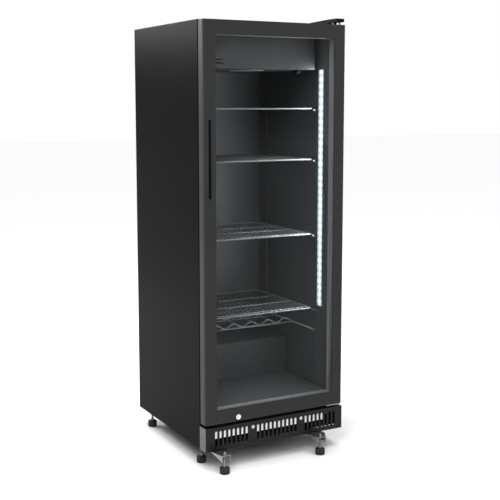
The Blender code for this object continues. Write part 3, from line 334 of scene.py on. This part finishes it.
def clear_glass(name, tint):
    """Float glass that lets lamps through, with faint smears that only dull its gloss."""
    surface = Surface(name, 0.0)
    surface.shader.inputs["Base Color"].default_value = (*tint, 1.0)
    surface.shader.inputs["Transmission Weight"].default_value = 1.0
    surface.shader.inputs["IOR"].default_value = 1.09
    smear = surface.noise((14, 14, 5), 5)
    surface.link(surface.remap(smear, 0.45, 0.8, 0.0, 0.03), surface.shader.inputs["Roughness"])
    path = surface.node("ShaderNodeLightPath")
    through = surface.node("ShaderNodeBsdfTransparent")
    through.inputs["Color"].default_value = (*shade(tint, 0.96), 1.0)
    mix = surface.node("ShaderNodeMixShader")
    surface.link(path.outputs["Is Shadow Ray"], mix.inputs["Fac"])
    surface.link(surface.shader.outputs["BSDF"], mix.inputs[1])
    surface.link(through.outputs["BSDF"], mix.inputs[2])
    surface.link(mix.outputs["Shader"], surface.tree.nodes["Material Output"].inputs["Surface"])
    return surface.material


def finned(name, colour, pitch):
    """Stacked aluminium fins, drawn as fine bands across the coil, with painted shade in the gaps
    between the fins.
    """
    surface = Surface(name, 0.42, metallic=1.0)
    turn = surface.math("MULTIPLY", surface.axis("X"), 2 * math.pi / pitch)
    band = surface.math("SINE", turn, 0.0)
    height = surface.remap(band, -1, 1, 0, 1)
    tone = surface.math("ADD", height, surface.noise((80, 80, 80), 3))
    # Painted shade: the colour darkens to about a third between the fins
    surface.paint(surface.colours(tone, (0.4, shade(colour, 0.35)), (1.2, colour)))
    surface.bump(height, 0.0006)
    return surface.material


def copper(name, colour):
    """Bare copper tube with darker oxide patches."""
    surface = Surface(name, 0.3, metallic=1.0)
    oxide = surface.noise((60, 60, 60), 5)
    surface.paint(surface.colours(oxide, (0.35, shade(colour, 0.45)), (0.65, colour)))
    surface.link(surface.remap(oxide, 0.3, 0.7, 0.45, 0.22), surface.shader.inputs["Roughness"])
    surface.bump(surface.noise((700, 700, 700), 2), 0.00003)
    return surface.material


def foam(name, colour):
    """Rigid insulation foam with an open cell texture."""
    surface = Surface(name, 0.85)
    cells = surface.node("ShaderNodeTexVoronoi")
    cells.inputs["Scale"].default_value = 420
    surface.link(surface.place, cells.inputs["Vector"])
    surface.paint(
        surface.colours(cells.outputs["Distance"], (0.0, shade(colour, 0.8)), (0.8, colour))
    )
    surface.bump(cells.outputs["Distance"], 0.0004)
    return surface.material


def lit_strip(name, colour, low, high):
    """Light strip: a soft bright spot for each diode behind a frosted cover."""
    surface = Surface(name, 0.4)
    along = surface.math("MULTIPLY", surface.axis("Z"), 2 * math.pi / LED_PITCH)
    wave = surface.remap(surface.math("COSINE", along, 0.0), -1, 1, 0.30, 1.0)
    middle = (low.y + high.y) / 2
    aside = surface.math("ABSOLUTE", surface.math("SUBTRACT", surface.axis("Y"), middle), 0.0)
    spread = surface.remap(aside, 0.0, (high.y - low.y) / 2, 1.0, 0.06)
    glow = surface.math("MULTIPLY", surface.math("MULTIPLY", spread, spread), wave)
    # Painted light: the cover's base colour is also lighter over each diode, besides its glow
    surface.paint(surface.colours(wave, (0.0, shade(colour, 0.6)), (1.0, colour)))
    surface.shader.inputs["Emission Color"].default_value = (*colour, 1.0)
    power = surface.math("MULTIPLY", glow, LED_POWER)
    surface.link(power, surface.shader.inputs["Emission Strength"])
    return surface.material


# Geometry

def add_piece(name, bm, material, body, smooth=True):
    """Turns a bmesh into a piece that moves with a CAD body."""
    bmesh.ops.recalc_face_normals(bm, faces=bm.faces)
    for face in bm.faces:
        face.smooth = smooth
    mesh = bpy.data.meshes.new(name)
    bm.to_mesh(mesh)
    bm.free()
    mesh.materials.append(material)
    piece = bpy.data.objects.new(name, mesh)
    bpy.context.scene.collection.objects.link(piece)
    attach(piece, body)
    return piece


def middle(low, high):
    """Centre of a box from its two corners."""
    return [(first + second) / 2 for first, second in zip(low, high)]


def skin(bm, rings, loop=False):
    """Joins rings of vertices into a tube, capping its ends or closing it on itself."""
    pairs = list(zip(rings, rings[1:]))
    if loop:
        pairs.append((rings[-1], rings[0]))
    for first, second in pairs:
        count = len(first)
        for index in range(count):
            following = (index + 1) % count
            bm.faces.new((first[index], first[following], second[following], second[index]))
    if not loop:
        bm.faces.new(list(reversed(rings[0])))
        bm.faces.new(rings[-1])


def wire(bm, points, radius, sides=10, loop=False, upward=None):
    """Round wire along a path of points."""
    points = [Vector(point) for point in points]
    count = len(points)
    normal = upward
    rings = []
    for index, point in enumerate(points):
        before = points[index - 1] if index or loop else point
        after = points[(index + 1) % count] if index + 1 < count or loop else point
        tangent = (after - before).normalized()
        if normal is None:
            normal = tangent.orthogonal()
        normal = (normal - tangent * normal.dot(tangent)).normalized()
        side = tangent.cross(normal)
        ring = []
        for step in range(sides):
            turn = 2 * math.pi * step / sides
            offset = normal * math.cos(turn) + side * math.sin(turn)
            ring.append(bm.verts.new(point + offset * radius))
        rings.append(ring)
    skin(bm, rings, loop=loop)


def turned(bm, profile, place, direction=(0, 0, 1), sides=28):
    """Solid of revolution; profile is (radius, distance along direction), both ends capped."""
    direction = Vector(direction).normalized()
    normal = direction.orthogonal().normalized()
    side = direction.cross(normal)
    rings = []
    for radius, along in profile:
        centre = Vector(place) + direction * along
        ring = []
        for step in range(sides):
            turn = 2 * math.pi * step / sides
            offset = normal * math.cos(turn) + side * math.sin(turn)
            ring.append(bm.verts.new(centre + offset * radius))
        rings.append(ring)
    skin(bm, rings)


def rounded_rectangle(left, right, front, back, z, radius, steps=5):
    """Points round a level rectangle with rounded corners."""
    corners = (
        (left + radius, front + radius, 180),
        (right - radius, front + radius, 270),
        (right - radius, back - radius, 0),
        (left + radius, back - radius, 90),
    )
    points = []
    for x, y, start in corners:
        for step in range(steps + 1):
            turn = math.radians(start + 90 * step / steps)
            points.append((x + radius * math.cos(turn), y + radius * math.sin(turn), z))
    return points


def circle(centre, radius, z, steps=48):
    return [
        (
            centre[0] + radius * math.cos(2 * math.pi * step / steps),
            centre[1] + radius * math.sin(2 * math.pi * step / steps),
            z,
        )
        for step in range(steps)
    ]


def mitred_frame(bm, section, low, high, y):
    """Sweeps a closed section of (inset, depth) round an upright rectangle with mitred corners."""
    rings = []
    for inset, depth in section:
        ring = []
        for x, z in (
            (low[0] + inset, low[1] + inset),
            (high[0] - inset, low[1] + inset),
            (high[0] - inset, high[1] - inset),
            (low[0] + inset, high[1] - inset),
        ):
            ring.append(bm.verts.new((x, y + depth, z)))
        rings.append(ring)
    skin(bm, rings, loop=True)


def soften(node, width, segments=2):
    """Rounds the sharp edges of a CAD node without touching its mesh."""
    item = NODES[node]
    weld = item.modifiers.new("weld", "WELD")
    weld.merge_threshold = 0.00002
    flat = item.modifiers.new("flatten", "DECIMATE")
    flat.decimate_type = "DISSOLVE"
    flat.angle_limit = math.radians(0.5)
    bevel = item.modifiers.new("bevel", "BEVEL")
    bevel.width = width
    bevel.segments = segments
    bevel.limit_method = "ANGLE"
    bevel.angle_limit = math.radians(32)
    bevel.harden_normals = True


def dress(material, *nodes):
    """Gives CAD nodes a finished material in place of their plain one."""
    for node in nodes:
        for mesh_slot in NODES[node].material_slots:
            mesh_slot.material = material


# Pieces

def make_shelf(node, material):
    """Welded wire shelf: frame, cross wires level with it and fine wires on top."""
    low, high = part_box(node)
    bm = bmesh.new()
    left, right = low.x + FRAME_WIRE, high.x - FRAME_WIRE
    front, back = low.y + FRAME_WIRE, high.y - FRAME_WIRE
    level = low.z + FRAME_WIRE
    wire(
        bm,
        rounded_rectangle(left, right, front, back, level, SHELF_CORNER),
        FRAME_WIRE,
        loop=True,
        upward=Vector((0, 0, 1)),
    )
    for share in CROSS_WIRES:
        y = front + (back - front) * share
        wire(bm, ((left, y, level), (right, y, level)), FRAME_WIRE)
    top = high.z - WIRE
    for index in range(FINE_WIRES):
        x = left + (right - left) * (index + 1) / (FINE_WIRES + 1)
        wire(bm, ((x, front, top - 0.0006), (x, front + 0.006, top), (x, back, top)), WIRE)
    piece = add_piece(f"{node}_wires", bm, material, "cabinet")
    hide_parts(node)


def make_bottle_rack(material):
    """Wavy rack: straight frame wires with waved wires standing on them."""
    low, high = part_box("bottle_shelf")
    bm = bmesh.new()
    left, right = low.x + FRAME_WIRE, high.x - FRAME_WIRE
    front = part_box("door_frame")[0].y + RACK_SETBACK + FRAME_WIRE
    back = high.y - FRAME_WIRE
    level = low.z + FRAME_WIRE
    rest = level + WAVE_REST
    for x in (left, right):
        wire(bm, ((x, low.y, level), (x, back, level)), FRAME_WIRE)
    for y in (front, (front + back) / 2, back):
        wire(bm, ((left, y, level), (right, y, level)), FRAME_WIRE)
        steps = WAVES * WAVE_STEPS
        path = []
        for step in range(steps + 1):
            share = step / steps
            rise = (1 - math.cos(2 * math.pi * WAVES * share)) / 2
            z = rest + rise * (high.z - level - WAVE_TRIM)
            path.append((left + (right - left) * share, y, z))
        wire(bm, path, WAVE_WIRE, sides=8)
    for index in range(1, WAVES):
        x = left + (right - left) * index / WAVES
        wire(bm, ((x, front, rest), (x, back, rest)), WIRE)
    piece = add_piece("bottle_rack_wires", bm, material, "cabinet")
    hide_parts("bottle_shelf")


def make_fan_guard(material):
    """Round wire guard under the evaporator fan."""
    low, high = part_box("evaporator_fan_guard")
    centre = middle(low, high)
    outer = (high.x - low.x) / 2 - GUARD_WIRE
    level = low.z + GUARD_WIRE
    bm = bmesh.new()
    for share in GUARD_RINGS:
        ring = circle(centre, outer * share, level)
        wire(bm, ring, GUARD_WIRE, sides=8, loop=True, upward=Vector((0, 0, 1)))
    z = high.z - GUARD_WIRE
    for index in range(GUARD_SPOKES):
        turn = math.radians(180 * index / GUARD_SPOKES + GUARD_TURN)
        x, y = outer * math.cos(turn), outer * math.sin(turn)
        wire(bm, ((centre[0] - x, centre[1] - y, z), (centre[0] + x, centre[1] + y, z)), GUARD_WIRE)
    piece = add_piece("fan_guard_wires", bm, material, "cabinet")
    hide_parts("evaporator_fan_guard")


def make_foot(node, body, rubber, metal):
    """Ribbed pad with a hexagon collar on a threaded rod."""
    low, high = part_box(node)
    x, y, _ = middle(low, high)
    base = (x, y, low.z)
    radius = (high.x - low.x) / 2
    bm = bmesh.new()
    turned(
        bm,
        (
            (radius - 0.0030, 0.0),
            (radius - 0.0008, 0.0006),
            (radius, 0.0022),
            (radius, 0.0062),
            (radius - 0.0012, 0.0070),
            (radius - 0.0012, 0.0086),
            (radius, 0.0094),
            (radius, PAD_HEIGHT - 0.0070),
            (radius - 0.0012, PAD_HEIGHT - 0.0040),
            (radius - 0.0050, PAD_HEIGHT - 0.0020),
            (0.0085, PAD_HEIGHT - 0.0012),
            (0.0080, PAD_HEIGHT),
            (0.0050, PAD_HEIGHT),
        ),
        base,
        sides=36,
    )
    pad = add_piece(f"{node}_pad", bm, rubber, body)

    bm = bmesh.new()
    root = ROD - 0.0006
    length = high.z - low.z
    profile = [(root, PAD_HEIGHT - 0.0050)]
    along = PAD_HEIGHT + 0.0005
    while along < length - 0.0010:
        profile.append((root, along))
        profile.append((ROD, along + THREAD_PITCH / 2))
        along += THREAD_PITCH
    profile.append((ROD - 0.0010, length))
    turned(bm, profile, base, sides=16)
    turned(
        bm,
        (
            (0.0068, PAD_HEIGHT - 0.0003),
            (0.0074, PAD_HEIGHT + 0.0005),
            (0.0074, PAD_HEIGHT + 0.0045),
            (0.0068, PAD_HEIGHT + 0.0055),
        ),
        base,
        sides=6,
    )
    stem = add_piece(f"{node}_rod", bm, metal, body, smooth=False)
    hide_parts(node)


def make_gasket(material):
    """Door seal with a magnet bead and two bellows folds."""
    low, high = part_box("door_gasket")
    width = GASKET_WIDTH
    deep = high.y - low.y
    section = (
        (0.0004, 0.0),
        (0.0, deep * 0.20),
        (0.0016, deep * 0.34),
        (0.0002, deep * 0.50),
        (0.0012, deep * 0.64),
        (0.0004, deep * 0.80),
        (0.0016, deep * 0.97),
        (0.0045, deep),
        (0.0065, deep * 0.95),
        (0.0085, deep),
        (width - 0.0016, deep * 0.97),
        (width - 0.0004, deep * 0.80),
        (width - 0.0012, deep * 0.64),
        (width - 0.0002, deep * 0.50),
        (width - 0.0016, deep * 0.34),
        (width, deep * 0.20),
        (width - 0.0004, 0.0),
    )
    bm = bmesh.new()
    mitred_frame(bm, section, (low.x, low.z), (high.x, high.z), low.y)
    piece = add_piece("door_seal", bm, material, "door", smooth=False)
    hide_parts("door_gasket")


def make_screws(name, places, direction, radius, height, material, body):
    """Low domed screw heads with a round socket, on thin washers."""
    profile = (
        (radius * 1.25, 0.0),
        (radius * 1.25, height * 0.20),
        (radius, height * 0.24),
        (radius, height * 0.50),
        (radius * 0.80, height * 0.90),
        (radius * 0.42, height),
        (radius * 0.38, height * 0.45),
    )
    bm = bmesh.new()
    for place in places:
        turned(bm, profile, place, direction, sides=18)
    piece = add_piece(name, bm, material, body, smooth=False)


def make_rear_screws(material):
    """Screws in the shallow seats of the back panel and in the rear grille's holes."""
    places = []
    for node, shares in (("back_panel", (0.0, 0.5, 1.0)), ("rear_grille", (0.0, 1.0))):
        low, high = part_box(node)
        span = high.z - low.z - 2 * SCREW_INSET
        for x in (low.x + SCREW_INSET, high.x - SCREW_INSET):
            for share in shares:
                places.append((x, high.y - SCREW_SEAT_DEPTH, low.z + SCREW_INSET + span * share))
    make_screws("rear_screws", places, (0, 1, 0), 0.0034, 0.00105, material, "cabinet")


def make_hinge_screws(material):
    """Row of screws that holds the top hinge's plate."""
    low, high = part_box("top_hinge_bracket")
    x = (low.x + high.x) / 2
    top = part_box("top_panel")[1].z + HINGE_PLATE
    first = high.y - HINGE_SCREW_INSET
    places = [(x, first - HINGE_SCREW_PITCH * index, top) for index in range(3)]
    make_screws("top_hinge_screws", places, (0, 0, 1), 0.0042, 0.0028, material, "cabinet")


def make_inlet_pins(material):
    """Three flat pins in the appliance inlet."""
    low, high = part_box("power_inlet")
    x, _, z = middle(low, high)
    bm = bmesh.new()
    for across, up in ((-0.0065, -0.0020), (0.0065, -0.0020), (0.0, 0.0030)):
        base = Vector((x + across, high.y - 0.0175, z + up))
        rings = []
        for along, half_width, half_height in (
            (0.0, 0.0010, 0.0020),
            (0.0120, 0.0010, 0.0020),
            (0.0135, 0.0004, 0.0013),
        ):
            rings.append(
                [
                    bm.verts.new(base + Vector((side * half_width, along, rise * half_height)))
                    for side, rise in ((-1, -1), (1, -1), (1, 1), (-1, 1))
                ]
            )
        skin(bm, rings)
    piece = add_piece("inlet_pins", bm, material, "cabinet", smooth=False)


def make_upright_eyelets(material):
    """Raised eyelets in a row up each shelf upright."""
    profile = ((0.0032, 0.0), (0.0030, 0.0006), (0.0019, 0.0007), (0.0017, 0.0001))
    for place in ("front_left", "front_right", "rear_left", "rear_right"):
        low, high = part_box(f"pilaster_{place}")
        side = 1 if "right" in place else -1
        wall = high.x if side > 0 else low.x
        y = (low.y + high.y) / 2
        bm = bmesh.new()
        z = low.z + EYELET_PITCH
        while z < high.z - EYELET_PITCH / 2:
            turned(bm, profile, (wall - side * EYELET_REACH, y, z), (-side, 0, 0), sides=14)
            z += EYELET_PITCH
        piece = add_piece(f"pilaster_{place}_eyelets", bm, material, "cabinet")


def make_compressor_seam(material):
    """Welded seam round the compressor's shell."""
    low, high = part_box("compressor")
    centre = middle(low, high)
    height = low.z + (high.z - low.z) * SEAM_HEIGHT
    radius = min(high.x - low.x, high.y - low.y) / 2 * SEAM_SPREAD
    bm = bmesh.new()
    ring = circle(centre, radius, height)
    wire(bm, ring, SEAM_WIRE, sides=8, loop=True, upward=Vector((0, 0, 1)))
    piece = add_piece("compressor_seam", bm, material, "cabinet")


def make_knob_pointer(material):
    """Plain pointer ridge under the thermostat knob."""
    low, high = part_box("thermostat_knob")
    x, y, _ = middle(low, high)
    bottom, top = low.z - 0.0001, low.z + 0.0009
    bm = bmesh.new()
    rings = []
    for along, half in ((0.0020, 0.0006), (0.0040, 0.0009), (0.0115, 0.0009), (0.0130, 0.0004)):
        corners = ((x + half, bottom), (x - half, bottom), (x - half, top), (x + half, top))
        rings.append([bm.verts.new((across, y - along, z)) for across, z in corners])
    skin(bm, rings)
    piece = add_piece("thermostat_pointer", bm, material, "thermostat", smooth=False)


# Stage

def make_floor():
    bm = bmesh.new()
    bmesh.ops.create_grid(bm, x_segments=1, y_segments=1, size=FLOOR_REACH)
    mesh = bpy.data.meshes.new("floor")
    bm.to_mesh(mesh)
    bm.free()
    floor = bpy.data.objects.new("floor", mesh)
    bpy.context.scene.collection.objects.link(floor)
    surface = Surface("floor_paper", 0.9)
    tone = surface.noise((3, 3, 3), 2)
    surface.paint(surface.colours(tone, (0.3, FLOOR_TONE), (0.7, shade(FLOOR_TONE, 1.01))))
    mesh.materials.append(surface.material)


def make_surround():
    """White surround: full strength where the camera sees it, dimmer as a light."""
    world = bpy.data.worlds.new("studio")
    bpy.context.scene.world = world
    world.use_nodes = True
    tree = world.node_tree
    background = tree.nodes["Background"]
    background.inputs["Color"].default_value = (1, 1, 1, 1)
    path = tree.nodes.new("ShaderNodeLightPath")
    strength = tree.nodes.new("ShaderNodeMapRange")
    strength.inputs["To Min"].default_value = WORLD_LIGHT
    strength.inputs["To Max"].default_value = 1.0
    tree.links.new(path.outputs["Is Camera Ray"], strength.inputs["Value"])
    tree.links.new(strength.outputs["Result"], background.inputs["Strength"])


def area_lamp(name, place, size, power):
    data = bpy.data.lights.new(name, "AREA")
    data.shape = "RECTANGLE"
    data.size, data.size_y = size
    data.energy = power
    lamp = bpy.data.objects.new(name, data)
    lamp.location = place
    bpy.context.scene.collection.objects.link(lamp)
    return lamp


def make_studio_lamps():
    """Soft area lamps aimed at the object, and a broad light from above."""
    for name, place, size, power in LAMPS:
        lamp = area_lamp(name, place, size, power)
        lamp.rotation_mode = "QUATERNION"
        lamp.rotation_quaternion = (LAMP_AIM - Vector(place)).to_track_quat("-Z", "Y")

    sun = bpy.data.lights.new("overhead_light", "SUN")
    sun.energy = SUN_LIGHT
    sun.angle = SUN_SPREAD
    overhead = bpy.data.objects.new("overhead_light", sun)
    overhead.location = (0, 0, 5)
    bpy.context.scene.collection.objects.link(overhead)


def make_strip_lamp():
    """Lamp along the light strip that lights the inside; it isn't seen itself."""
    low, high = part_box("led_strip")
    _, y, z = middle(low, high)
    lamp = area_lamp(
        "strip_light", (low.x - STRIP_GAP, y, z), (high.z - low.z, STRIP_WIDTH), STRIP_LIGHT
    )
    lamp.data.color = STRIP_COLOUR
    lamp.rotation_euler = Euler((0, math.pi / 2, 0))
    lamp.visible_camera = False
    lamp.visible_transmission = False


def make_camera():
    data = bpy.data.cameras.new("camera")
    data.lens = CAMERA_LENS
    data.sensor_width = 36.0
    data.shift_y = CAMERA_SHIFT
    camera = bpy.data.objects.new("camera", data)
    camera.location = CAMERA_PLACE
    camera.rotation_euler = Euler((math.pi / 2 - CAMERA_PITCH, 0, -CAMERA_YAW))
    bpy.context.scene.collection.objects.link(camera)
    bpy.context.scene.camera = camera
    bpy.context.scene.view_settings.view_transform = "Standard"


def make_materials():
    """One finish for each look on the object, by a plain name."""
    half_width = CAD_BOUNDS[1].x
    # Painted light: the plinth's side faces are painted light grey, and the door's rounded left and
    # right edges carry a painted highlight
    painted_plinth_side_light = ((0.11, 0.11, 0.11), half_width - 0.0006, half_width - 0.0003)
    painted_door_edge_highlight = ((0.050, 0.050, 0.050), half_width - 0.0050, half_width - 0.0004)
    return {
        "cabinet": powder_coat("cabinet_coat", (0.0070, 0.0070, 0.0073), 0.30, 0.012),
        "plinth": powder_coat("plinth_coat_and_lit_sides", (0.006, 0.006, 0.006), 0.40, 0.22, painted_plinth_side_light),
        "door": powder_coat("door_coat_and_edge_highlight", (0.031, 0.031, 0.0315), 0.38, 0.06, painted_door_edge_highlight),
        "liner": moulded("liner_plastic", (0.044, 0.044, 0.048), 0.45),
        "cover": moulded("evaporator_plastic", (0.033, 0.033, 0.036), 0.45),
        "reveal": moulded("reveal_plastic", (0.21, 0.21, 0.215), 0.40),
        "black": moulded("black_plastic", (0.005, 0.005, 0.005), 0.45, 0.03),
        "white": moulded("baffle_plastic", (0.93, 0.93, 0.93), 0.45),
        "enamel": powder_coat("black_enamel", (0.010, 0.010, 0.010), 0.25, 0.50),
        # Painted shade: near-black, barely glossy coat so the shaded machine bay behind the grille
        # reads black
        "pan": powder_coat("pan_painted_shade", (0.003, 0.003, 0.003), 0.55, 0.04),
        "spacer": brushed_aluminium("spacer_aluminium", (0.26, 0.26, 0.265)),
        "zinc": zinc("zinc_plate", (0.30, 0.30, 0.295)),
        "nickel": plated("lock_nickel", (0.80, 0.79, 0.77)),
        "wire": coated_wire("wire_coat", (0.17, 0.175, 0.18)),
        "rubber": soft_rubber("foot_rubber", (0.008, 0.008, 0.008)),
        "seal": soft_rubber("seal_rubber", (0.012, 0.012, 0.012)),
        "glass": clear_glass("door_glass", (0.97, 0.985, 0.98)),
        "fins": finned("coil_fins", (0.75, 0.76, 0.77), 0.0021),
        "tube": copper("copper_tube", (0.85, 0.45, 0.28)),
        "foam": foam("insulation", (0.75, 0.65, 0.38)),
        "led": lit_strip("led_light", (0.86, 0.93, 1.0), *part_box("led_strip")),
    }


def dress_nodes(finish):
    """Gives every CAD node that stays visible its finish, and rounds the sheet edges."""
    sheets = ("side_panel_left", "side_panel_right", "top_panel")
    dress(finish["cabinet"], *sheets, "back_panel", "rear_grille")
    dress(finish["plinth"], "front_grille")
    dress(finish["door"], "door_frame", "handle_grip")
    dress(finish["liner"], "inner_liner", "pilaster_front_left", "pilaster_front_right")
    dress(finish["liner"], "pilaster_rear_left", "pilaster_rear_right", "led_housing")
    dress(finish["cover"], "evaporator_cover", "light_switch")
    dress(finish["reveal"], "door_inner_trim")
    dress(finish["spacer"], "glazing_spacer")
    dress(finish["glass"], "glass_outer", "glass_inner")
    dress(finish["black"], "top_hinge_cover", "evaporator_fan_blade", "evaporator_fan_motor")
    dress(finish["black"], "condenser_fan_blade", "condenser_fan_motor", "condenser_fan_shroud")
    dress(finish["black"], "thermostat_knob", "drip_tray", "power_inlet")
    dress(finish["enamel"], "compressor")
    # Painted shade: the base pan and the front cross member stand in for the dark of the machine
    # bay
    dress(finish["pan"], "front_cross_member", "base_pan")
    dress(finish["white"], "air_baffle")
    dress(finish["zinc"], "stabiliser_bracket_left", "stabiliser_bracket_right")
    dress(finish["zinc"], "top_hinge_bracket", "bottom_hinge_bracket")
    dress(finish["nickel"], "lock_body", "lock_cylinder", "lock_cam")
    dress(finish["fins"], "evaporator_coil", "condenser_coil")
    dress(finish["tube"], "discharge_pipe", "suction_pipe")
    dress(finish["foam"], "insulation_foam")
    dress(finish["led"], "led_strip")

    for node in sheets:
        soften(node, EDGE)
    for node in ("door_frame", "front_grille", "handle_grip"):
        soften(node, EDGE / 2)
    for node in ("stabiliser_bracket_left", "stabiliser_bracket_right", "bottom_hinge_bracket"):
        soften(node, EDGE / 2)
    for node in ("top_hinge_cover", "evaporator_cover"):
        soften(node, EDGE, 3)


def make_pieces(finish):
    for index in range(1, 5):
        make_shelf(f"shelf_{index}", finish["wire"])
    make_bottle_rack(finish["wire"])
    make_fan_guard(finish["wire"])
    for node in NODES:
        if node.startswith(("levelling_foot", "stabiliser_foot")):
            make_foot(node, NODES[node]["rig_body"], finish["rubber"], finish["zinc"])
    make_gasket(finish["seal"])
    make_rear_screws(finish["zinc"])
    make_hinge_screws(finish["zinc"])
    make_inlet_pins(finish["nickel"])
    make_upright_eyelets(finish["liner"])
    make_compressor_seam(finish["enamel"])
    make_knob_pointer(finish["white"])


def build():
    finish = make_materials()
    dress_nodes(finish)
    make_pieces(finish)
    make_floor()
    make_surround()
    make_studio_lamps()
    make_strip_lamp()
    make_camera()


build()
bpy.context.view_layer.update()
